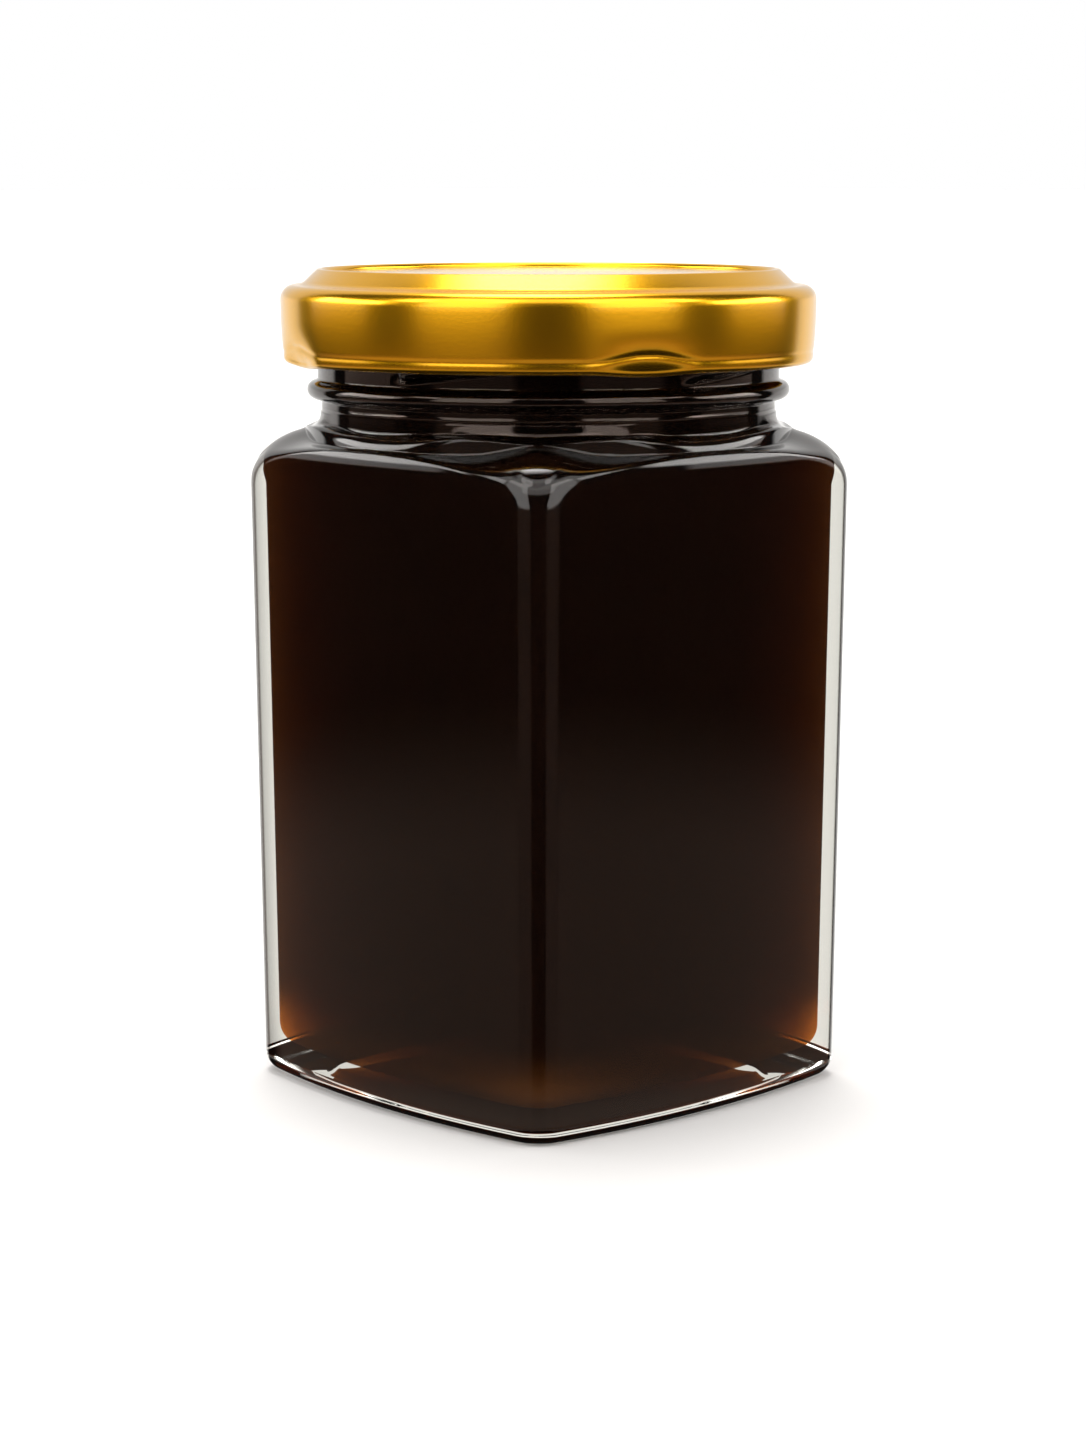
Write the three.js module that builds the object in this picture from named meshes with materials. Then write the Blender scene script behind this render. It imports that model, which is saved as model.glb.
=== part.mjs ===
// Honey jar: a square glass jar with bulging faces, full of dark honey and shut by a
// twist-off metal lid with four lugs.
// Millimetres, +Z up. The origin is the centre of the base, on the surface that it stands on.
// A direction round the jar is an angle from -Y towards +X. The faces look along X and Y.
import * as THREE from 'three';

const TURN = Math.PI * 2;
const DEGREE = TURN / 360;

// Body: a square with bulging faces, a little narrower at the base
const FACE_TOP = 30.0; // axis to the middle of a face, under the shoulder
const FACE_BASE = 29.25; // the same just above the base
const CORNER_TOP = 37.5; // axis to a corner, under the shoulder
const CORNER_BASE = 36.6; // the same just above the base
const FACE_BULGE = 120; // radius of the bulge across a face
const EDGE_SOFTNESS = 0.9; // width over which two surfaces blend into a round edge

// Base: a round lower edge, a flat ring to stand on and a shallow push-up inside it
const BASE_ROUND = 3.2;
const PUSH_UP = 0.8;
const RING_WIDTH = 4.5;
const RING_SLOPE = 1.6;
const FLOOR_THICKNESS = 3.9;

// Shoulder: a quarter ellipse over the corners and a round upper edge on each face
const SHOULDER_BASE = 76.3;
const SHOULDER_HEIGHT = 6.6;
const SHOULDER_REACH = 10;
const FACE_ROUND_BASE = 79.5;
const FACE_ROUND_HEIGHT = 3.3;
const FACE_AT_NECK = 28.75;
const SHOULDER_SWEEP = 88 * DEGREE; // stops just short of the ellipse's flat top
const SHOULDER_STEPS = 9;

// Neck and finish
const NECK_RADIUS = 28.7;
const NECK_FLARE = 1.6;
const NECK_BASE = 84.0;
const FLARE_SHARES = [0.2, 0.5, 0.8]; // levels of the fillet between shoulder and neck
const BEAD_HEIGHT = 87.6;
const BEAD_RADIUS = 1.1;
const BEAD_CENTRE = 28.9;
const BEAD_SWEEP = 84; // degrees above and below the bead's widest level
const THREAD_ZONE = 88.9;
const THREAD_STEPS = 9;
const LIP_BASE = 98.4;
const LIP_TOP = 101.2;
const LIP_RADIUS = 29.2;
const LIP_ROUND = 1.2;
const BORE_RADIUS = 26.2;
const BORE_CHAMFER = 0.6;

// Thread: short ridges round the neck that rise to the right
const THREAD_COUNT = 5;
const THREAD_START = 9 * DEGREE;
const THREAD_LENGTH = 74 * DEGREE;
const THREAD_RISE = 3.15; // height gained over one radian
const THREAD_LOW = 90.6; // height of the ridge's middle at its low end
const THREAD_DEPTH = 1.5;
const THREAD_HALF_HEIGHT = 1.25;
const THREAD_END = 3.5 * DEGREE;

// Walls
const FACE_WALL = 2.6;
const CORNER_WALL = 2.75;
const INNER_ROUND = 2.6;
const INNER_SHOULDER_BASE = 75.0;
const INNER_SHOULDER_HEIGHT = 5.5;
const INNER_SHOULDER_REACH = 9.5;
const INNER_NECK_FLARE = 2.1;
const INNER_NECK_BASE = 82.6;
const INNER_STEPS = 6;

// Honey: up to the neck, clear of the glass all round
const HONEY_LEVEL = 94.5;
const HONEY_GAP = 0.3;
const HONEY_STEPS = 5;

// Lid: pressed sheet with a recessed panel, a raised ring, a stepped edge and a curled rim
const LID_TOP = 102.4;
const PANEL_HEIGHT = 101.85;
const PANEL_RADIUS = 27.5;
const RING_RADIUS = 28.4;
const RING_HALF_WIDTH = 0.45;
const RING_CROWN = 0.15;
const STEP_RADIUS = 30.9;
const STEP_HEIGHT = 100.45;
const STEP_BEVEL = 0.28;
const SKIRT_TOP_RADIUS = 33.2;
const SKIRT_ROUND = 1.75;
const SKIRT_BOTTOM_RADIUS = 32.95;
const SHEET = 0.4;
const SHEET_AT_RING = 0.55;
const CURL_RADIUS = 0.75;
const CURL_HEIGHT = 91.65;

// Lugs: four places where the curled rim is pressed inwards under the thread
const LUG_COUNT = 4;
const LUG_START = 68 * DEGREE;
const LUG_HALF_WIDTH = 13 * DEGREE;
const LUG_DEPTH = 1.0;
const LUG_STEEPNESS = 1.35; // above 1 leaves a level stretch in the middle of a lug
const LUG_TOP = 93.6;

// Facets
const GLASS_FACETS = 64;
const HONEY_FACETS = 64;
const LID_FACETS = 60;
const CORNER_CROWDING = 0.19; // draws facets together at the four corners

// The smaller of two lengths, rounded off where they are nearly equal.
function softMin(a, b, width) {
  const near = Math.max(width - Math.abs(a - b), 0) / width;
  return Math.min(a, b) - (near * near * width) / 4;
}

// The larger of two lengths, rounded off where they are nearly equal.
function softMax(a, b, width) {
  return -softMin(-a, -b, width);
}

// A smooth step from 0 to 1.
function ease(t) {
  const x = THREE.MathUtils.clamp(t, 0, 1);
  return x * x * (3 - 2 * x);
}

// Distance from the axis to the bulging face that lies in this direction.
function faceReach(direction, half) {
  const fromMiddle = direction - Math.round(direction / (TURN / 4)) * (TURN / 4);
  const centre = half - FACE_BULGE;
  const across = centre * Math.sin(fromMiddle);
  return centre * Math.cos(fromMiddle) + Math.sqrt(FACE_BULGE ** 2 - across ** 2);
}

// How far a quarter ellipse reaches at a height above its widest level.
function ellipseReach(height, reach, rise) {
  const share = THREE.MathUtils.clamp(height / rise, 0, 1);
  return reach * Math.sqrt(1 - share * share);
}

// How far a concave fillet stands out below the level where it leaves the neck.
function flareReach(below, radius) {
  const depth = THREE.MathUtils.clamp(below, 0, radius);
  return radius - Math.sqrt(radius * radius - depth * depth);
}

// Body sizes at a height, on the outside of the glass.
function cornerAt(z) {
  const share = THREE.MathUtils.clamp(z / SHOULDER_BASE, 0, 1);
  return THREE.MathUtils.lerp(CORNER_BASE, CORNER_TOP, share);
}

function faceAt(z) {
  const share = THREE.MathUtils.clamp(z / SHOULDER_BASE, 0, 1);
  const wall = THREE.MathUtils.lerp(FACE_BASE, FACE_TOP, share);
  const rounded = (z - FACE_ROUND_BASE) / FACE_ROUND_HEIGHT;
  if (rounded <= 0) return wall;
  if (rounded > 1) return FACE_AT_NECK + (rounded - 1) * FACE_ROUND_HEIGHT;
  return FACE_AT_NECK + (wall - FACE_AT_NECK) * (1 - rounded * rounded);
}

// One level of a turned outline: its reach at the corners, at the faces and its height.
// A level with no face is a plain circle.
function level(corner, z, face = Infinity) {
  return { corner, z, face };
}

// Levels along an arc from one angle to another, about a centre in the outline's plane.
function arc(centre, height, radius, from, to, steps) {
  const levels = [];
  for (let i = 0; i <= steps; i++) {
    const angle = THREE.MathUtils.lerp(from, to, i / steps) * DEGREE;
    levels.push(level(centre + radius * Math.cos(angle), height + radius * Math.sin(angle)));
  }
  return levels;
}

// Outer levels of the shoulder, up to where the neck is round.
function shoulderLevels() {
  const centre = CORNER_TOP - SHOULDER_REACH;
  const top = SHOULDER_BASE + SHOULDER_HEIGHT;
  const levels = [];
  for (let i = 0; i <= SHOULDER_STEPS; i++) {
    const sweep = (i / SHOULDER_STEPS) * SHOULDER_SWEEP;
    const z = SHOULDER_BASE + SHOULDER_HEIGHT * Math.sin(sweep);
    const dome = centre + ellipseReach(z - SHOULDER_BASE, SHOULDER_REACH, SHOULDER_HEIGHT);
    const neck = NECK_RADIUS + flareReach(NECK_BASE - z, NECK_FLARE);
    levels.push(level(softMax(dome, neck, EDGE_SOFTNESS), z, faceAt(z)));
  }
  for (const share of FLARE_SHARES) {
    const z = THREE.MathUtils.lerp(top, NECK_BASE, share);
    levels.push(level(NECK_RADIUS + flareReach(NECK_BASE - z, NECK_FLARE), z, faceAt(z)));
  }
  return levels;
}

// Inner levels of the glass, from the bore down to the floor, less a gap all round.
function cavityLevels(gap, steps) {
  const bore = BORE_RADIUS - gap;
  const floor = FLOOR_THICKNESS + gap;
  const wall = (z) => level(cornerAt(z) - CORNER_WALL - gap, z, faceAt(z) - FACE_WALL - gap);
  const dome = cornerAt(SHOULDER_BASE) - CORNER_WALL - gap - INNER_SHOULDER_REACH;
  const levels = [level(bore, INNER_NECK_BASE)];
  for (let i = steps; i >= 0; i--) {
    const rise = INNER_SHOULDER_HEIGHT * Math.sin((i / steps) * SHOULDER_SWEEP);
    const z = INNER_SHOULDER_BASE + rise - gap;
    const ellipse = dome + ellipseReach(rise, INNER_SHOULDER_REACH, INNER_SHOULDER_HEIGHT);
    const neck = bore + flareReach(INNER_NECK_BASE - gap - z, INNER_NECK_FLARE);
    levels.push(level(softMax(ellipse, neck, EDGE_SOFTNESS), z, wall(SHOULDER_BASE).face));
  }
  for (const angle of [0, 30, 60, 90]) {
    const inset = INNER_ROUND * (1 - Math.cos(angle * DEGREE));
    const z = floor + INNER_ROUND * (1 - Math.sin(angle * DEGREE));
    const edge = wall(z);
    levels.push(level(edge.corner - inset, z, edge.face - inset));
  }
  levels.push(level(0, floor));
  return levels;
}

// Outer levels of the glass, from the middle of its base up to the neck.
function bodyLevels() {
  const ringOut = BASE_ROUND;
  const ringIn = BASE_ROUND + RING_WIDTH;
  const slopeIn = ringIn + RING_SLOPE;
  const levels = [level(0, PUSH_UP)];
  levels.push(level(CORNER_BASE - slopeIn, PUSH_UP, FACE_BASE - slopeIn));
  levels.push(level(CORNER_BASE - ringIn, 0, FACE_BASE - ringIn));
  for (const angle of [0, 22.5, 45, 67.5, 90]) {
    const inset = ringOut * (1 - Math.sin(angle * DEGREE));
    const z = ringOut * (1 - Math.cos(angle * DEGREE));
    levels.push(level(cornerAt(z) - inset, z, faceAt(z) - inset));
  }
  return levels.concat(shoulderLevels());
}

// Outer levels of the finish: the bead, the threaded wall and the rounded lip.
function finishLevels() {
  const levels = [level(NECK_RADIUS, NECK_BASE)];
  levels.push(...arc(BEAD_CENTRE, BEAD_HEIGHT, BEAD_RADIUS, -BEAD_SWEEP, BEAD_SWEEP, 6));
  for (let i = 0; i <= THREAD_STEPS; i++) {
    const z = THREE.MathUtils.lerp(THREAD_ZONE, LIP_BASE, i / THREAD_STEPS);
    levels.push(level(NECK_RADIUS, z));
  }
  levels.push(...arc(LIP_RADIUS - LIP_ROUND, LIP_TOP - LIP_ROUND, LIP_ROUND, 0, 90, 3));
  levels.push(level(BORE_RADIUS + BORE_CHAMFER, LIP_TOP));
  levels.push(level(BORE_RADIUS, LIP_TOP - BORE_CHAMFER));
  return levels;
}

// How far the thread stands out of the neck at a place.
function threadLift(direction, z) {
  let lift = 0;
  for (let i = 0; i < THREAD_COUNT; i++) {
    const start = THREAD_START + (i * TURN) / THREAD_COUNT;
    const along = THREE.MathUtils.euclideanModulo(direction - start, TURN);
    const ends = ease(along / THREAD_END) * ease((THREAD_LENGTH - along) / THREAD_END);
    const offset = (z - THREAD_LOW - along * THREAD_RISE) / THREAD_HALF_HEIGHT;
    const section = Math.max(1 - offset * offset, 0) ** 0.75;
    lift = Math.max(lift, THREAD_DEPTH * section * ends);
  }
  return lift;
}

// How far the lid's rim is pressed inwards at a place.
function lugDip(direction, z) {
  let dip = 0;
  for (let i = 0; i < LUG_COUNT; i++) {
    const middle = LUG_START + (i * TURN) / LUG_COUNT;
    const away = THREE.MathUtils.euclideanModulo(direction - middle + TURN / 2, TURN) - TURN / 2;
    const across = Math.abs(away) / LUG_HALF_WIDTH;
    const height = (LUG_TOP - z) / (LUG_TOP - CURL_HEIGHT);
    dip = Math.max(dip, LUG_DEPTH * ease(LUG_STEEPNESS * (1 - across)) * ease(height));
  }
  return dip;
}

// A closed solid from an outline's levels, turned about the axis and then shaped: reach gives
// the distance from the axis for a level in a direction, and crowding packs facets at corners.
function turned(levels, facets, crowding, reach) {
  const outline = levels.map((entry) => new THREE.Vector2(entry.corner, entry.z));
  const geometry = new THREE.LatheGeometry(outline, facets);
  const position = geometry.attributes.position;
  for (let i = 0; i < position.count; i++) {
    const entry = levels[i % levels.length];
    const even = ((Math.floor(i / levels.length) % facets) / facets) * TURN;
    const direction = even + crowding * Math.sin(4 * even);
    const radius = entry.corner > 0 ? reach(entry, direction) : 0;
    position.setXYZ(i, radius * Math.sin(direction), -radius * Math.cos(direction), entry.z);
  }
  geometry.computeVertexNormals();
  return geometry;
}

// The reach of a square level: its corner circle cut by the four bulging faces.
function squareReach(entry, direction) {
  if (entry.face === Infinity) return entry.corner;
  return softMin(entry.corner, faceReach(direction, entry.face), EDGE_SOFTNESS);
}

function piece(name, geometry, finish) {
  const mesh = new THREE.Mesh(geometry, new THREE.MeshStandardMaterial(finish));
  mesh.name = name;
  return mesh;
}

// Glass: one open-topped shell with its bead, thread and lip.
function glassJar() {
  const levels = [...bodyLevels(), ...finishLevels(), ...cavityLevels(0, INNER_STEPS)];
  const reach = (entry, direction) => {
    const threaded = entry.corner === NECK_RADIUS && entry.z >= THREAD_ZONE;
    return squareReach(entry, direction) + (threaded ? threadLift(direction, entry.z) : 0);
  };
  const geometry = turned(levels, GLASS_FACETS, CORNER_CROWDING, reach);
  return piece('glass_jar', geometry, { color: 0xd8dcd0, roughness: 0.05, metalness: 0 });
}

// Honey: fills the jar from the floor to its level in the neck.
function honey() {
  const surface = [level(0, HONEY_LEVEL), level(BORE_RADIUS - HONEY_GAP, HONEY_LEVEL)];
  const levels = [...surface, ...cavityLevels(HONEY_GAP, HONEY_STEPS)].reverse();
  const geometry = turned(levels, HONEY_FACETS, CORNER_CROWDING, squareReach);
  return piece('honey', geometry, { color: 0x1a0b05, roughness: 0.25, metalness: 0 });
}

// Outer side of the lid's sheet, from the middle of the panel to the curl.
function lidOutside() {
  const curl = SKIRT_BOTTOM_RADIUS - CURL_RADIUS;
  return [
    level(0, PANEL_HEIGHT),
    level(PANEL_RADIUS, PANEL_HEIGHT),
    level(RING_RADIUS - RING_HALF_WIDTH, LID_TOP - RING_CROWN),
    level(RING_RADIUS, LID_TOP),
    level(RING_RADIUS + RING_HALF_WIDTH, LID_TOP - RING_CROWN),
    level(STEP_RADIUS - STEP_BEVEL, STEP_HEIGHT + STEP_BEVEL),
    level(STEP_RADIUS, STEP_HEIGHT),
    ...arc(SKIRT_TOP_RADIUS - SKIRT_ROUND, STEP_HEIGHT - SKIRT_ROUND, SKIRT_ROUND, 90, 0, 4),
    level(SKIRT_BOTTOM_RADIUS, LUG_TOP),
    level(SKIRT_BOTTOM_RADIUS, (LUG_TOP + CURL_HEIGHT) / 2),
    ...arc(curl, CURL_HEIGHT, CURL_RADIUS, 0, -180, 6),
  ];
}

// Inner side of the lid's sheet, from the curl back to the middle of the panel.
function lidInside() {
  const skirt = SKIRT_BOTTOM_RADIUS - SHEET;
  return [
    level(SKIRT_BOTTOM_RADIUS - CURL_RADIUS, CURL_HEIGHT + CURL_RADIUS),
    level(skirt, LUG_TOP),
    level(SKIRT_TOP_RADIUS - SHEET, STEP_HEIGHT - SKIRT_ROUND),
    level(SKIRT_TOP_RADIUS - SKIRT_ROUND, STEP_HEIGHT - SHEET),
    level(STEP_RADIUS - SHEET, STEP_HEIGHT - SHEET),
    level(RING_RADIUS + RING_HALF_WIDTH, LID_TOP - SHEET_AT_RING),
    level(RING_RADIUS - RING_HALF_WIDTH, LID_TOP - SHEET_AT_RING),
    level(PANEL_RADIUS, PANEL_HEIGHT - SHEET),
    level(0, PANEL_HEIGHT - SHEET),
  ];
}

// Lid: one pressed and curled sheet with four lugs.
function lid() {
  const levels = [...lidOutside(), ...lidInside()].reverse();
  const reach = (entry, direction) => entry.corner - lugDip(direction, entry.z);
  const geometry = turned(levels, LID_FACETS, 0, reach);
  return piece('lid', geometry, { color: 0xc8921a, roughness: 0.35, metalness: 1 });
}

const jar = new THREE.Group();
jar.add(glassJar(), honey(), lid());

export default jar;
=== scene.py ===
"""Honey jar: the looks of a square glass jar of dark honey under a satin gold twist-off lid.

Sizes are in millimetres, as in the part, and become metres when a mesh is made. A direction
round the jar is an angle from -Y towards +X.
"""

import math

import bpy
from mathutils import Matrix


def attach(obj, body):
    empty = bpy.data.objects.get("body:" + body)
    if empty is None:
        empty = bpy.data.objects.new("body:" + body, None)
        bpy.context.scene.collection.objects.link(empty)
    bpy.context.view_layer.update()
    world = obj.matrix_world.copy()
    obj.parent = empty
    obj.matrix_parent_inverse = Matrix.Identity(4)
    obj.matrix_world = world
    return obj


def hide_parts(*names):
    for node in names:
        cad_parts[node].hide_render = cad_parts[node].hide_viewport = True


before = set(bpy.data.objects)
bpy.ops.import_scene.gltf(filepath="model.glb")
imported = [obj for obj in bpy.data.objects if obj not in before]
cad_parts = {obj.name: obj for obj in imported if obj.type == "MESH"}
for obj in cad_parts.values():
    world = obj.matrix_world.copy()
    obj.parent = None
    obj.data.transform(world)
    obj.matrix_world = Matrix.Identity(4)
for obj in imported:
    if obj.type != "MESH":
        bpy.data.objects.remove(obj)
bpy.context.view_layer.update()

MM = 0.001
TURN = 2 * math.pi

# Camera, as fitted to the photograph
CAMERA_DISTANCE = 429.0
CAMERA_HEIGHT = 113.8
CAMERA_SIDE = math.radians(47.08)
CAMERA_PAN = math.radians(0.09)
CAMERA_TILT = math.radians(9.09)
CAMERA_LENS = 85.34
SENSOR_HEIGHT = 36.0

# Glass body, close to the part's
FACE_TOP = 30.2
FACE_BASE = 29.25
CORNER_TOP = 37.5
CORNER_BASE = 36.6
FACE_BULGE = 120.0
CORNER_ROUND = 4.0
EDGE_SOFTNESS = 0.9
BASE_ROUND = 2.6
PUSH_UP = 0.8
RING_WIDTH = 5.4
RING_SLOPE = 1.6
MIDDLE_RADIUS = 2.0
FLOOR_THICKNESS = 3.9
SHOULDER_BASE = 75.6
SHOULDER_HEIGHT = 7.3
SHOULDER_REACH = 10.0
FACE_ROUND_BASE = 79.5
FACE_ROUND = 4.2
FACE_SAG = 1.45
CORNER_SAG = 3.2
NECK_FILLET = 0.6
CREST_BELOW = 1.2
CREST_ABOVE = 0.2

# Neck and finish
NECK_RADIUS = 28.2
THREAD_WALL = 28.7
FACE_FLARE = 1.2
CORNER_FLARE = 2.2
DOME_FALL = 4.0
NECK_BASE = 84.9
BEAD_HEIGHT = 87.6
BEAD_RADIUS = 1.1
BEAD_CENTRE = 28.9
BEAD_SWEEP = 80
THREAD_ZONE = 88.9
LIP_BASE = 98.4
LIP_TOP = 101.2
LIP_RADIUS = 29.2
LIP_ROUND = 1.2
BORE_RADIUS = 26.2
BORE_CHAMFER = 0.6
SEAM_HEIGHT = 85.4
SEAM_LIFT = 0.07
SEAM_WIDTH = 0.13
SEAM_ZONE = 0.35

THREAD_COUNT = 5
THREAD_START = math.radians(9)
THREAD_LENGTH = math.radians(74)
THREAD_RISE = 3.15
THREAD_LOW = 90.6
THREAD_DEPTH = 1.5
THREAD_HALF_HEIGHT = 1.25
THREAD_END = math.radians(3.5)
THREAD_SHAPE = 0.75

# Walls and honey
FACE_WALL = 2.25
CORNER_WALL = 2.95
THICK_WALL_TOP = 75.4
THINNING_HEIGHT = 3.6
WALL_GLASS_BASE = 2.5
WALL_GLASS_TOP = 83.4
INNER_CORNER_ROUND = 2.0
INNER_ROUND = 2.6
SHOULDER_WALL = 0.9
INNER_NECK_BASE = 84.2
HONEY_LEVEL = 94.5
HONEY_OVERLAP = 0.06
HONEY_RIM_DROP = 0.3
MENISCUS = 0.9
MENISCUS_CLIMB = 0.6
MENISCUS_WIDTH = 1.6

# Lid
LID_TOP = 102.4
PANEL_HEIGHT = 101.85
PANEL_RADIUS = 27.5
RING_RADIUS = 28.4
RING_ROUND = 0.55
STEP_RADIUS = 30.9
STEP_HEIGHT = 100.45
STEP_ROUND = 1.9
SKIRT_TOP_RADIUS = 33.2
SKIRT_ROUND = 1.75
SKIRT_BOTTOM_RADIUS = 32.85
SKIRT_INNER_TOP = 98.0
SHEET = 0.4
CURL_RADIUS = 0.75
CURL_HEIGHT = 91.65
CURL_SWEEP = 270
LUG_COUNT = 4
LUG_START = math.radians(68)
LUG_HALF_WIDTH = math.radians(13)
LUG_DEPTH = 1.0
LUG_DROP = 0.35
LUG_TOP = 96.6
LUG_FLATNESS = 1.1
LUG_FALL = 2.6
RIM_BEND_HEIGHT = 1.5
CREASE_HEIGHT = 92.35
CREASE_RISE = 0.95
CREASE_DEPTH = 0.06
CREASE_WIDTH = 0.3

# Finishes
GLASS_INDEX = 1.5
WALL_INDEX = 1.105
GLASS_COAT_INDEX = 1.52
GLASS_TINT = (0.97, 0.965, 0.9, 1)
GLASS_REFLECTION = (1, 0.8, 0.7, 1)
# Painted shade: the dark the wall glass's colour turns to at a slant, and the slants where it starts
# and where it is full.
PAINTED_OUTLINE_SHADE = (0.06, 0.05, 0.045, 1)
CLEAR_SLANT = 0.53
DARK_SLANT = 0.58
HONEY_CLEARNESS = 0.9
HONEY_DEEP = (0.07, 0.025, 0.012, 1)
# Painted glow: the amber painted into the honey's colour where light through thin honey would glow.
PAINTED_HONEY_GLOW = (0.9, 0.3, 0.05, 1)
HONEY_ABSORPTION = (0.66, 0.5, 0.0, 1)
HONEY_DENSITY = 350.0
# Where the painted glow lies: the height below which it rises to full at the floor, the distance
# from the axis beyond which it grows, and its share nearer the middle.
PAINTED_GLOW_HEIGHT = 12.0
PAINTED_GLOW_REACH = 27.0
PAINTED_GLOW_MIDDLE = 0.15
LID_GOLD = (0.93, 0.46, 0.01, 1)
LID_EDGE_TINT = (1, 0.92, 0.6, 1)
LID_ROUGHNESS = 0.25
LID_COAT_ROUGHNESS = 0.12
LID_COAT_INDEX = 1.26
FLOOR_SIZE = 40.0
FLOOR_WHITE = (0.75, 0.74, 0.735, 1)
FLOOR_GLOW = (1, 0.97, 0.96, 1)
FLOOR_GLOW_STRENGTH = 0.05

# Studio lights: the angle away from the backdrop, the same to the left and to the right, the
# elevation, the softness of the edges, all in degrees, and the brightness
STUDIO_LIGHTS = {
    "backdrop": ((-10, 47), (-24, 4), 3, 1.0),
    "backdrop above": ((-10, 47), (4, 66), 3, 0.76),
    "side boxes": ((62, 103), (9, 27), 2.5, 5.5),
    "corner boxes": ((103, 122), (31, 50), 2.5, 4.0),
    "side glow": ((60, 97), (-3, 9), 1.5, 1.15),
    "front boxes": ((124, 162), (-1, 60), 2, 2.2),
    "front boxes below": ((122, 164), (-9, 1), 3, 0.14),
    "front table": ((122, 164), (-20, -10), 2.5, 0.16),
    "front canopy": ((105, 200), (50, 68), 4, 1.6),
    "front canopy edge": ((150, 200), (37, 50), 4, 1.2),
    "side table": ((60, 121), (-20, -11), 1.5, 0.2),
    "table": ((50, 200), (-34, -19), 2.5, 0.5),
}
OVERHEAD_SIDE = -0.05
OVERHEAD_BACK = 0.24
OVERHEAD_SPREAD = 14.0
OVERHEAD_SOFTNESS = 7.0
OVERHEAD_STRENGTH = 12.0
STUDIO_FILL = 0.02
LIGHT_WHITE = (1, 0.985, 0.965, 1)
LIGHT_WARM = (1, 0.74, 0.6, 1)
WARM_RISE = (-28, -2)
WARM_SOFTNESS = 4
WARM_AWAY = (50, 58)

# Mesh fineness
ROUND_FACETS = 304
CORNER_CROWDING = 0.19
CURVE_STEPS = 24
WALL_STEPS = 10


def lerp(a, b, share):
    return a + (b - a) * share


def clamp(value, low, high):
    return max(low, min(high, value))


def ease(share):
    x = clamp(share, 0.0, 1.0)
    return x * x * (3 - 2 * x)


def soft_min(a, b, width):
    """The smaller of two lengths, rounded off where they are nearly equal."""
    near = max(width - abs(a - b), 0.0) / width
    return min(a, b) - near * near * width / 4


def soft_max(a, b, width):
    return -soft_min(-a, -b, width)


def circle_reach(centre, radius, away):
    """Distance from the axis to a circle, at an angle away from the line to its centre."""
    return centre * math.cos(away) + math.sqrt(radius**2 - (centre * math.sin(away)) ** 2)


def face_reach(direction, half, corner_round):
    """Distance from the axis to the bulging faces, with the corners between them rounded."""
    away = abs(direction - round(direction / (TURN / 4)) * (TURN / 4))
    centre = half - FACE_BULGE
    corner = circle_reach(centre, FACE_BULGE - corner_round, TURN / 8)
    across = corner * math.sin(TURN / 8)
    normal = math.atan2(across, across - centre)
    touch = math.atan2(FACE_BULGE * math.sin(normal), centre + FACE_BULGE * math.cos(normal))
    if away > touch:
        return circle_reach(corner, corner_round, TURN / 8 - away)
    return circle_reach(centre, FACE_BULGE, away)


def ellipse_reach(height, reach, rise):
    share = clamp(height / rise, 0.0, 1.0)
    return reach * math.sqrt(1 - share * share)


def corner_at(z):
    return lerp(CORNER_BASE, CORNER_TOP, clamp(z / SHOULDER_BASE, 0.0, 1.0))


def face_at(z, corner=0.0):
    """Half the width between the faces, whose rounded top is lower and shallower at a corner."""
    wall = lerp(FACE_BASE, FACE_TOP, clamp(z / SHOULDER_BASE, 0.0, 1.0))
    above = clamp(z + CORNER_SAG * corner - FACE_ROUND_BASE, 0.0, FACE_ROUND * (1 - corner / 2))
    return wall - FACE_ROUND + math.sqrt(FACE_ROUND**2 - above**2)


def corner_wall_at(z):
    """The wall's thickness at the corners, which is less in the shoulder."""
    return lerp(CORNER_WALL, SHOULDER_WALL, ease((z - THICK_WALL_TOP) / THINNING_HEIGHT))


def spread(first, last, steps):
    """Evenly spaced values from the first to the last."""
    return [lerp(first, last, i / steps) for i in range(steps + 1)]


def arc(centre, height, radius, start, end, steps):
    """Round levels along an arc, its angles in degrees from outwards towards up."""
    angles = [math.radians(a) for a in spread(start, end, steps)]
    return [(height + radius * math.sin(a), centre + radius * math.cos(a)) for a in angles]


def square_reach(direction, circle, face, corner_round):
    """The reach of a circle cut by the four bulging faces."""
    cut = face_reach(direction, face, min(corner_round, face / 4))
    return soft_min(circle, cut, EDGE_SOFTNESS)


def square_level(circle, z, face, corner_round=CORNER_ROUND):
    return (z, lambda direction: square_reach(direction, circle, face, corner_round))


def foot_reach(below, radius):
    """How far a foot of a radius stands out at a depth below its start."""
    depth = clamp(below, 0.0, radius)
    return radius - math.sqrt(radius * radius - depth * depth)


def corner_share(direction):
    """How far a direction is from the middle of a face, which is 0, towards a corner, 1."""
    away = abs(direction - round(direction / (TURN / 4)) * (TURN / 4))
    return away / (TURN / 8)


def dome_reach(rise, gap):
    """The shoulder's round profile at a height above the walls, falling away inside the neck."""
    beyond = max(rise - SHOULDER_HEIGHT + gap, 0.0)
    dome = ellipse_reach(rise, SHOULDER_REACH - gap, SHOULDER_HEIGHT - gap)
    return CORNER_TOP - SHOULDER_REACH + dome - DOME_FALL * beyond


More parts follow.
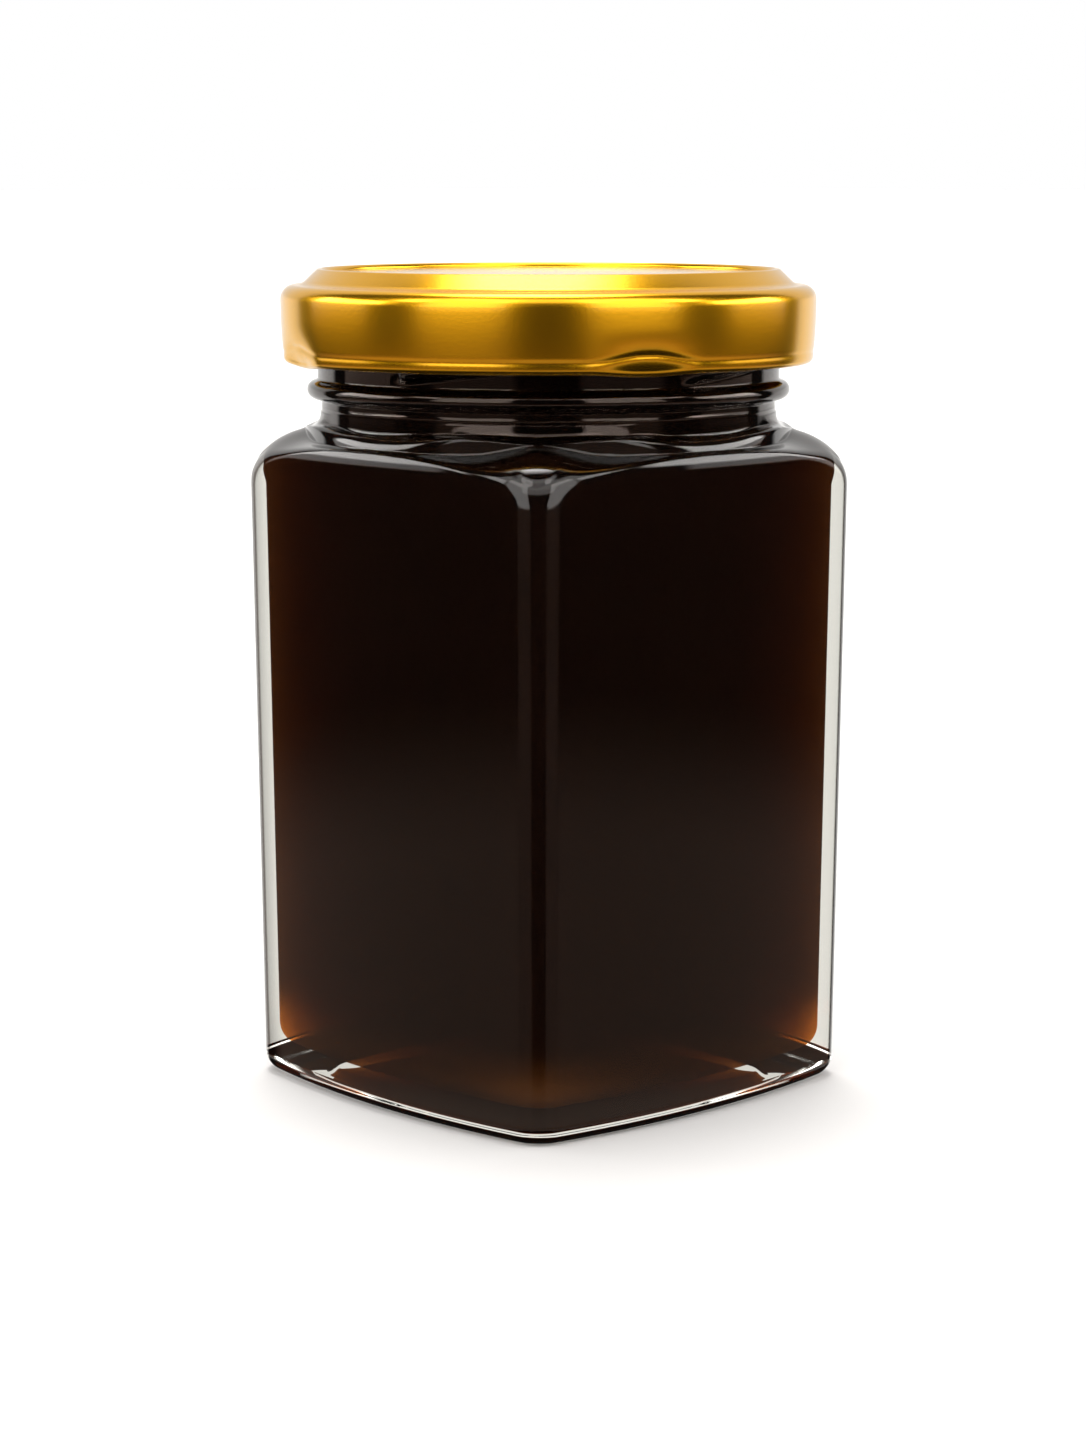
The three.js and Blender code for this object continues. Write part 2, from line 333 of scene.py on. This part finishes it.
def shoulder_reach(direction, z, gap, neck, wall, corner_round):
    """The shoulder, which lies lower over the middles of the faces, and the foot of the neck."""
    share = corner_share(direction)
    dome = dome_reach(z + FACE_SAG * (1 - ease(share) ** 8) - SHOULDER_BASE, gap)
    face = face_at(z, ease(share) ** 16) - wall
    foot = neck + foot_reach(NECK_BASE - gap - z, lerp(FACE_FLARE, CORNER_FLARE, share * share))
    reach = square_reach(direction, soft_max(dome, foot, EDGE_SOFTNESS), face, corner_round)
    return soft_max(reach, neck, NECK_FILLET)


def shoulder_level(z, gap, neck, wall=0.0, corner_round=CORNER_ROUND):
    return (z, lambda direction: shoulder_reach(direction, z, gap, neck, wall, corner_round))


def base_levels():
    """The underside, from its middle to the round lower edge."""
    ring_in = BASE_ROUND + RING_WIDTH
    slope_in = ring_in + RING_SLOPE
    levels = [(PUSH_UP, 0.0)]
    for inset in spread(CORNER_BASE - MIDDLE_RADIUS, slope_in, 10):
        face = max(FACE_BASE - inset, MIDDLE_RADIUS / 2)
        levels.append(square_level(CORNER_BASE - inset, PUSH_UP, face))
    for share in spread(0.1, 1.0, 9):
        inset = lerp(slope_in, ring_in, share)
        z = PUSH_UP * (1 - ease(share))
        levels.append(square_level(CORNER_BASE - inset, z, FACE_BASE - inset))
    for angle in spread(0, 90, CURVE_STEPS // 2):
        inset = BASE_ROUND * (1 - math.sin(math.radians(angle)))
        z = BASE_ROUND * (1 - math.cos(math.radians(angle)))
        levels.append(square_level(corner_at(z) - inset, z, face_at(z) - inset))
    return levels


def wall_levels():
    """The flat walls, between the round lower edge and the shoulder."""
    heights = spread(BASE_ROUND, SHOULDER_BASE, WALL_STEPS)[1:-1]
    return [square_level(corner_at(z), z, face_at(z)) for z in heights]


def shoulder_levels():
    """The outside, from the top of the flat walls to the round neck."""
    top = SHOULDER_BASE + SHOULDER_HEIGHT
    heights = spread(SHOULDER_BASE, top - CREST_BELOW, CURVE_STEPS * 2)
    heights += spread(top - CREST_BELOW, top + CREST_ABOVE, CURVE_STEPS * 2)[1:]
    heights += spread(top + CREST_ABOVE, NECK_BASE, CURVE_STEPS // 2)[1:]
    return [shoulder_level(z, 0.0, NECK_RADIUS) for z in heights]


def neck_level(z):
    """The neck's wall with what stands out of it."""
    if z < THREAD_ZONE:
        return (z, lambda direction: NECK_RADIUS + seam_lift(direction, z))
    return (z, lambda direction: THREAD_WALL + thread_lift(direction, z))


def finish_levels():
    """The outside of the neck: seam, bead, threaded wall and lip."""
    seam_low, seam_high = SEAM_HEIGHT - SEAM_ZONE, SEAM_HEIGHT + SEAM_ZONE
    heights = spread(NECK_BASE, seam_low - 0.05, 3)[1:]
    heights += spread(seam_low, seam_high, 10)
    heights += spread(seam_high + 0.1, BEAD_HEIGHT - BEAD_RADIUS - 0.2, 2)
    levels = [neck_level(z) for z in heights]
    levels += arc(BEAD_CENTRE, BEAD_HEIGHT, BEAD_RADIUS, -BEAD_SWEEP, BEAD_SWEEP, CURVE_STEPS // 2)
    levels += [neck_level(z) for z in spread(THREAD_ZONE, LIP_BASE, 40)]
    levels += arc(LIP_RADIUS - LIP_ROUND, LIP_TOP - LIP_ROUND, LIP_ROUND, 0, 90, 8)
    levels += [(LIP_TOP, BORE_RADIUS + BORE_CHAMFER), (LIP_TOP - BORE_CHAMFER, BORE_RADIUS)]
    return levels


def cavity_levels(gap):
    """The inside of the glass, from the bore down to the middle of the floor, less a gap."""
    bore = BORE_RADIUS - gap
    floor = FLOOR_THICKNESS + gap
    wall = FACE_WALL + gap
    corner_round = INNER_CORNER_ROUND
    levels = [(z, bore) for z in spread(HONEY_LEVEL - HONEY_RIM_DROP, INNER_NECK_BASE, 8)]
    for z in spread(INNER_NECK_BASE, SHOULDER_BASE, CURVE_STEPS)[1:]:
        levels.append(shoulder_level(z, corner_wall_at(z) + gap, bore, wall, corner_round))
    for z in spread(SHOULDER_BASE, floor + INNER_ROUND, WALL_STEPS)[1:-1]:
        corner = corner_at(z) - corner_wall_at(z) - gap
        levels.append(square_level(corner, z, face_at(z) - wall, corner_round))
    for angle in spread(0, 90, CURVE_STEPS // 2):
        inset = INNER_ROUND * (1 - math.cos(math.radians(angle)))
        z = floor + INNER_ROUND * (1 - math.sin(math.radians(angle)))
        corner = corner_at(z) - CORNER_WALL - gap - inset
        face = face_at(z) - wall - inset
        levels.append(square_level(corner, z, face, corner_round))
    for share in spread(0.85, 0.1, 5):
        levels.append(square_level(corner * share, floor, face * share, corner_round))
    levels.append((floor, 0.0))
    return levels


def thread_lift(direction, z):
    """How far the thread stands out of the neck at a place."""
    lift = 0.0
    for i in range(THREAD_COUNT):
        along = (direction - THREAD_START - i * TURN / THREAD_COUNT) % TURN
        ends = ease(along / THREAD_END) * ease((THREAD_LENGTH - along) / THREAD_END)
        offset = (z - THREAD_LOW - along * THREAD_RISE) / THREAD_HALF_HEIGHT
        lift = max(lift, THREAD_DEPTH * max(1 - offset * offset, 0.0) ** THREAD_SHAPE * ends)
    return lift


def seam_lift(direction, z):
    """The mould's parting line round the neck, a little uneven."""
    uneven = 0.75 + 0.25 * math.sin(13 * direction + 2 * math.sin(5 * direction))
    height = SEAM_HEIGHT + 0.05 * math.sin(9 * direction)
    return SEAM_LIFT * uneven * math.exp(-(((z - height) / SEAM_WIDTH) ** 2))


def lug_share(direction):
    """How near a direction is to the middle of a lug, from 0 beside it to 1."""
    nearest = round((direction - LUG_START) / (TURN / LUG_COUNT))
    away = direction - LUG_START - nearest * TURN / LUG_COUNT
    return ease(LUG_FLATNESS * (1 - abs(away) / LUG_HALF_WIDTH))


def rim_dip(direction, z):
    """How far the lid is pressed inwards: at the lugs, and in a crease above its curled rim."""
    share = lug_share(direction)
    depth = clamp((LUG_TOP - z) / (LUG_TOP - CURL_HEIGHT), 0.0, 1.0) ** LUG_FALL
    crease = CREASE_HEIGHT + CREASE_RISE * share
    fold = CREASE_DEPTH * (1 + 2 * share) * math.exp(-(((z - crease) / CREASE_WIDTH) ** 2))
    return LUG_DEPTH * share * depth + fold


def rim_height(direction, z):
    """The rim is bent a little lower at the lugs."""
    low = clamp((CREASE_HEIGHT - z) / RIM_BEND_HEIGHT + 1, 0.0, 1.0)
    return z - LUG_DROP * lug_share(direction) * low


def turned(name, levels, crowding):
    """A mesh turned about the axis from levels, each a height and its reach or reach function."""
    directions = []
    for i in range(ROUND_FACETS):
        even = i / ROUND_FACETS * TURN
        directions.append(even + crowding * math.sin(4 * even))
    verts = []
    rings = []
    for z, reach in levels:
        if reach == 0:
            rings.append([len(verts)] * ROUND_FACETS)
            verts.append((0.0, 0.0, z * MM))
            continue
        rings.append(range(len(verts), len(verts) + ROUND_FACETS))
        for direction in directions:
            radius = reach(direction) if callable(reach) else reach
            height = z(direction) if callable(z) else z
            across, along = radius * math.sin(direction), -radius * math.cos(direction)
            verts.append((across * MM, along * MM, height * MM))
    faces = []
    for low, high in zip(rings, rings[1:]):
        for i in range(ROUND_FACETS):
            j = (i + 1) % ROUND_FACETS
            corners = dict.fromkeys((low[i], low[j], high[j], high[i]))
            faces.append(tuple(corners))
    mesh = bpy.data.meshes.new(name)
    mesh.from_pydata(verts, [], faces)
    mesh.polygons.foreach_set("use_smooth", [True] * len(mesh.polygons))
    mesh.update()
    piece = bpy.data.objects.new(name, mesh)
    bpy.context.collection.objects.link(piece)
    return piece


# Materials
def new_material(name):
    material = bpy.data.materials.new(name)
    material.use_nodes = True
    nodes = material.node_tree.nodes
    return material, nodes, material.node_tree.links, nodes["Principled BSDF"]


class Graph:
    """A short way to write sums of a shader's numbers."""

    def __init__(self, tree):
        self.nodes = tree.nodes
        self.links = tree.links

    def maths(self, operation, *values):
        node = self.nodes.new("ShaderNodeMath")
        node.operation = operation
        for socket, value in zip(node.inputs, values):
            if isinstance(value, (int, float)):
                socket.default_value = value
            else:
                self.links.new(value, socket)
        return node.outputs["Value"]

    def step(self, value, start, end):
        """Rises smoothly from 0 at the start to 1 at the end."""
        node = self.nodes.new("ShaderNodeMapRange")
        node.interpolation_type = "SMOOTHSTEP"
        self.links.new(value, node.inputs["Value"])
        node.inputs["From Min"].default_value = start
        node.inputs["From Max"].default_value = end
        return node.outputs["Result"]

    def window(self, value, low, high, soft):
        """One between two limits, falling off softly outside them."""
        rise = self.step(value, low - soft, low + soft)
        fall = self.step(value, high - soft, high + soft)
        return self.maths("MULTIPLY", rise, self.maths("SUBTRACT", 1.0, fall))


def bump_from_noise(nodes, links, shader, scale, detail, strength, distance):
    """Fine unevenness of a surface, its distance in metres."""
    place = nodes.new("ShaderNodeTexCoord")
    noise = nodes.new("ShaderNodeTexNoise")
    noise.inputs["Scale"].default_value = scale
    noise.inputs["Detail"].default_value = detail
    bump = nodes.new("ShaderNodeBump")
    bump.inputs["Strength"].default_value = strength
    bump.inputs["Distance"].default_value = distance
    links.new(place.outputs["Object"], noise.inputs["Vector"])
    links.new(noise.outputs["Fac"], bump.inputs["Height"])
    links.new(bump.outputs["Normal"], shader.inputs["Normal"])


def glass_material(name, bending, coat):
    """Clear moulded glass with a slight waviness, which bends light by its index."""
    material, nodes, links, shader = new_material(name)
    shader.inputs["Base Color"].default_value = GLASS_TINT
    shader.inputs["Roughness"].default_value = 0.0
    shader.inputs["IOR"].default_value = bending
    shader.inputs["Transmission Weight"].default_value = 1.0
    shader.inputs["Coat Weight"].default_value = coat
    shader.inputs["Coat Roughness"].default_value = 0.0
    shader.inputs["Coat IOR"].default_value = GLASS_COAT_INDEX
    shader.inputs["Specular Tint"].default_value = GLASS_REFLECTION
    bump_from_noise(nodes, links, shader, scale=60.0, detail=1.0, strength=0.03, distance=0.0004)
    return material


def paint_outline_shade(material):
    """Paints shade into the wall glass's colour where it is seen at a slant, standing in for light
    that enters the wall there and is trapped and lost in the honey.
    """
    nodes = material.node_tree.nodes
    shader = nodes["Principled BSDF"]
    slant = nodes.new("ShaderNodeLayerWeight")
    slant.inputs["Blend"].default_value = 0.5
    tint = nodes.new("ShaderNodeValToRGB")
    tint.color_ramp.elements[0].position = CLEAR_SLANT
    tint.color_ramp.elements[0].color = shader.inputs["Base Color"].default_value
    tint.color_ramp.elements[1].position = DARK_SLANT
    tint.color_ramp.elements[1].color = PAINTED_OUTLINE_SHADE
    material.node_tree.links.new(slant.outputs["Facing"], tint.inputs["Fac"])
    material.node_tree.links.new(tint.outputs["Color"], shader.inputs["Base Color"])


def wet_glass_material():
    """The inner face of the glass where honey touches it, which reflects and bends nothing."""
    material, nodes, links, shader = new_material("jar_glass_wet")
    shader.inputs["Base Color"].default_value = (1, 1, 1, 1)
    shader.inputs["Roughness"].default_value = 0.0
    shader.inputs["IOR"].default_value = 1.0
    shader.inputs["Transmission Weight"].default_value = 1.0
    return material


def honey_material():
    """Very dark clear honey: light through a few millimetres of it turns amber. Its colour also has
    a painted amber glow towards the bottom and the outer corners, where light would shine through
    thin honey.
    """
    material, nodes, links, shader = new_material("dark_honey")
    shader.inputs["Roughness"].default_value = 0.0
    shader.inputs["IOR"].default_value = 1.0
    shader.inputs["Transmission Weight"].default_value = HONEY_CLEARNESS
    graph = Graph(material.node_tree)
    place = nodes.new("ShaderNodeTexCoord")
    axes = nodes.new("ShaderNodeSeparateXYZ")
    links.new(place.outputs["Object"], axes.inputs["Vector"])
    # Painted glow: the honey's colour turns from deep brown to amber towards the bottom, most
    # towards the outer corners.
    low = graph.step(axes.outputs["Z"], PAINTED_GLOW_HEIGHT * MM, FLOOR_THICKNESS * MM)
    squares = [graph.maths("POWER", axes.outputs[axis], 2.0) for axis in "XY"]
    reach = graph.maths("SQRT", graph.maths("ADD", *squares))
    outer = graph.step(reach, PAINTED_GLOW_REACH * MM, CORNER_BASE * MM)
    spots = graph.maths("MULTIPLY_ADD", outer, 1 - PAINTED_GLOW_MIDDLE, PAINTED_GLOW_MIDDLE)
    glow = graph.maths("MULTIPLY", low, spots)
    colour = nodes.new("ShaderNodeMix")
    colour.data_type = "RGBA"
    colour.inputs["A"].default_value = HONEY_DEEP
    colour.inputs["B"].default_value = PAINTED_HONEY_GLOW
    links.new(glow, colour.inputs["Factor"])
    links.new(colour.outputs["Result"], shader.inputs["Base Color"])
    absorption = nodes.new("ShaderNodeVolumeAbsorption")
    absorption.inputs["Color"].default_value = HONEY_ABSORPTION
    absorption.inputs["Density"].default_value = HONEY_DENSITY
    links.new(absorption.outputs["Volume"], nodes["Material Output"].inputs["Volume"])
    return material


def lid_material():
    """Satin gold lacquer over tinplate, with a fine grain under the clear coat."""
    material, nodes, links, shader = new_material("gold_lacquer")
    shader.inputs["Base Color"].default_value = LID_GOLD
    shader.inputs["Metallic"].default_value = 1.0
    shader.inputs["Roughness"].default_value = LID_ROUGHNESS
    shader.inputs["Specular Tint"].default_value = LID_EDGE_TINT
    shader.inputs["Coat Weight"].default_value = 1.0
    shader.inputs["Coat Roughness"].default_value = LID_COAT_ROUGHNESS
    shader.inputs["Coat IOR"].default_value = LID_COAT_INDEX
    bump_from_noise(nodes, links, shader, scale=2500.0, detail=3.0, strength=0.05, distance=0.0001)
    return material


# Pieces
def make_glass():
    """One closed shell, which has a wet inner face below the honey's level.

    Honey bends light nearly as glass does, so the walls over it hardly bend what passes through.
    """
    outside = base_levels() + wall_levels() + shoulder_levels() + finish_levels()
    inside = cavity_levels(0.0)
    levels = outside + inside
    piece = turned("glass_shell", levels, CORNER_CROWDING)
    piece.data.materials.append(glass_material("jar_glass", GLASS_INDEX, 0.0))
    piece.data.materials.append(glass_material("jar_wall_glass", WALL_INDEX, 1.0))
    # The wall glass gets painted shade along its outlines, where it is seen at a slant.
    paint_outline_shade(piece.data.materials[1])
    piece.data.materials.append(wet_glass_material())
    first_wet = len(outside)
    for polygon in piece.data.polygons:
        strip = polygon.index // ROUND_FACETS
        if strip >= first_wet:
            polygon.material_index = 2
        elif WALL_GLASS_BASE <= outside[strip][0] < WALL_GLASS_TOP:
            polygon.material_index = 1
    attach(piece, "root")
    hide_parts("glass_jar")


def make_honey():
    """The filling, which reaches just into the glass and climbs it a little at the top."""
    cavity = cavity_levels(-HONEY_OVERLAP)
    rim = cavity[0][1]
    surface = [(HONEY_LEVEL - MENISCUS, 0.0)]
    for share in spread(0.1, 1.0, 16):
        climb = MENISCUS * math.exp((share - 1.0) * rim / MENISCUS_WIDTH)
        surface.append((HONEY_LEVEL - MENISCUS + climb * MENISCUS_CLIMB, rim * share))
    levels = [*surface, *cavity][::-1]
    piece = turned("honey_fill", levels, CORNER_CROWDING)
    piece.data.materials.append(honey_material())
    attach(piece, "root")
    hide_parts("honey")


def lid_outline():
    """The pressed sheet, outside from the middle of the panel to the curl, and back inside."""
    slope = math.atan2(LID_TOP - STEP_HEIGHT, STEP_RADIUS - RING_RADIUS)
    steep = math.degrees(slope)
    curl = SKIRT_BOTTOM_RADIUS - CURL_RADIUS
    skirt_top = STEP_HEIGHT - SKIRT_ROUND
    outside = [(PANEL_HEIGHT, 0.0)]
    outside += [(PANEL_HEIGHT, radius) for radius in spread(4.0, PANEL_RADIUS - 0.3, 6)]
    ring_height = LID_TOP - RING_ROUND
    outside += arc(RING_RADIUS, ring_height, RING_ROUND, 180, 90 - steep, 14)
    outside += arc(STEP_RADIUS + 0.5, STEP_HEIGHT + STEP_ROUND, STEP_ROUND, 270 - steep, 270, 12)
    outside += arc(SKIRT_TOP_RADIUS - SKIRT_ROUND, skirt_top, SKIRT_ROUND, 90, 0, 16)
    for z in spread(skirt_top - 0.6, CURL_HEIGHT + 0.1, 48):
        share = (skirt_top - z) / (skirt_top - CURL_HEIGHT)
        outside.append((z, lerp(SKIRT_TOP_RADIUS, SKIRT_BOTTOM_RADIUS, share * share)))
    outside += arc(curl, CURL_HEIGHT, CURL_RADIUS, 0, -CURL_SWEEP, CURVE_STEPS)
    inner_heights = spread(CURL_HEIGHT + 1.0, SKIRT_INNER_TOP, 20)
    inside = [(z, SKIRT_BOTTOM_RADIUS - SHEET) for z in inner_heights]
    inside += [
        (STEP_HEIGHT - SHEET, SKIRT_TOP_RADIUS - SKIRT_ROUND),
        (STEP_HEIGHT - SHEET, STEP_RADIUS - SHEET),
        (LID_TOP - SHEET - 0.1, RING_RADIUS + 0.3),
        (LID_TOP - SHEET - 0.1, RING_RADIUS - 0.3),
        (PANEL_HEIGHT - SHEET, PANEL_RADIUS),
        (PANEL_HEIGHT - SHEET, 0.0),
    ]
    return outside + inside


def lugged(z, radius):
    """A level of the lid with the four lugs pressed into it."""
    if radius == 0:
        return (z, radius)
    return (
        lambda direction: rim_height(direction, z),
        lambda direction: radius - rim_dip(direction, z),
    )


def make_lid():
    """The lid, from its middle inside out over the rim to the middle of the panel."""
    levels = [lugged(z, radius) for z, radius in lid_outline()[::-1]]
    piece = turned("gold_lid", levels, 0.0)
    piece.data.materials.append(lid_material())
    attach(piece, "root")
    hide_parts("lid")


# Studio
def make_world():
    """A white backdrop and soft boxes, dark between. The camera itself sees plain white."""
    world = bpy.data.worlds.new("studio")
    bpy.context.scene.world = world
    world.use_nodes = True
    graph = Graph(world.node_tree)
    place = graph.nodes.new("ShaderNodeTexCoord")
    turn = graph.nodes.new("ShaderNodeVectorRotate")
    turn.rotation_type = "Z_AXIS"
    turn.inputs["Angle"].default_value = -CAMERA_SIDE
    axes = graph.nodes.new("ShaderNodeSeparateXYZ")
    graph.links.new(place.outputs["Generated"], turn.inputs["Vector"])
    graph.links.new(turn.outputs["Vector"], axes.inputs["Vector"])
    sideways = graph.maths("ABSOLUTE", axes.outputs["X"])
    away = graph.maths("DEGREES", graph.maths("ARCTAN2", sideways, axes.outputs["Y"]))
    rise = graph.maths("DEGREES", graph.maths("ARCSINE", axes.outputs["Z"]))
    total = STUDIO_FILL
    for (near, far), (low, high), soft, strength in STUDIO_LIGHTS.values():
        shape = graph.maths(
            "MULTIPLY", graph.window(away, near, far, soft), graph.window(rise, low, high, soft)
        )
        total = graph.maths("ADD", total, graph.maths("MULTIPLY", shape, strength))
    axis = graph.nodes.new("ShaderNodeVectorMath")
    axis.operation = "DOT_PRODUCT"
    rest = math.sqrt(1 - OVERHEAD_SIDE**2 - OVERHEAD_BACK**2)
    axis.inputs[1].default_value = (OVERHEAD_SIDE, OVERHEAD_BACK, rest)
    graph.links.new(turn.outputs["Vector"], axis.inputs[0])
    off_axis = graph.maths("DEGREES", graph.maths("ARCCOSINE", axis.outputs["Value"]))
    inner, outer = OVERHEAD_SPREAD - OVERHEAD_SOFTNESS, OVERHEAD_SPREAD + OVERHEAD_SOFTNESS
    box = graph.step(off_axis, outer, inner)
    total = graph.maths("ADD", total, graph.maths("MULTIPLY", box, OVERHEAD_STRENGTH))
    background = graph.nodes["Background"]
    graph.links.new(total, background.inputs["Strength"])
    colour = graph.nodes.new("ShaderNodeMix")
    colour.data_type = "RGBA"
    colour.inputs["A"].default_value = LIGHT_WHITE
    colour.inputs["B"].default_value = LIGHT_WARM
    low_light = graph.window(rise, *WARM_RISE, WARM_SOFTNESS)
    warm = graph.maths("MULTIPLY", low_light, graph.step(away, *WARM_AWAY))
    graph.links.new(warm, colour.inputs["Factor"])
    graph.links.new(colour.outputs["Result"], background.inputs["Color"])
    white = graph.nodes.new("ShaderNodeBackground")
    white.inputs["Color"].default_value = (1, 1, 1, 1)
    ray = graph.nodes.new("ShaderNodeLightPath")
    either = graph.nodes.new("ShaderNodeMixShader")
    graph.links.new(ray.outputs["Is Camera Ray"], either.inputs["Fac"])
    graph.links.new(background.outputs["Background"], either.inputs[1])
    graph.links.new(white.outputs["Background"], either.inputs[2])
    graph.links.new(either.outputs["Shader"], graph.nodes["World Output"].inputs["Surface"])


def make_stage():
    """A pale floor, which reflections and light through the glass don't see."""
    bpy.ops.mesh.primitive_plane_add(size=FLOOR_SIZE)
    floor = bpy.context.object
    floor.name = "studio_floor"
    floor.visible_glossy = False
    floor.visible_transmission = False
    material, nodes, links, shader = new_material("pale_floor")
    shader.inputs["Base Color"].default_value = FLOOR_WHITE
    shader.inputs["Roughness"].default_value = 1.0
    shader.inputs["Specular IOR Level"].default_value = 0.0
    shader.inputs["Emission Color"].default_value = FLOOR_GLOW
    shader.inputs["Emission Strength"].default_value = FLOOR_GLOW_STRENGTH
    floor.data.materials.append(material)


def make_camera():
    camera = bpy.data.cameras.new("camera")
    camera.lens = CAMERA_LENS
    camera.sensor_fit = "VERTICAL"
    camera.sensor_height = SENSOR_HEIGHT
    camera.clip_start = 0.01
    camera.clip_end = 100.0
    view = bpy.data.objects.new("camera", camera)
    bpy.context.collection.objects.link(view)
    away = CAMERA_DISTANCE * MM
    view.location = (away * math.sin(CAMERA_SIDE), -away * math.cos(CAMERA_SIDE), CAMERA_HEIGHT * MM)
    view.rotation_euler = (math.pi / 2 - CAMERA_TILT, 0.0, CAMERA_SIDE + CAMERA_PAN)
    bpy.context.scene.camera = view


make_camera()
make_world()
make_stage()
make_glass()
make_honey()
make_lid()
bpy.context.scene.view_settings.view_transform = "Standard"
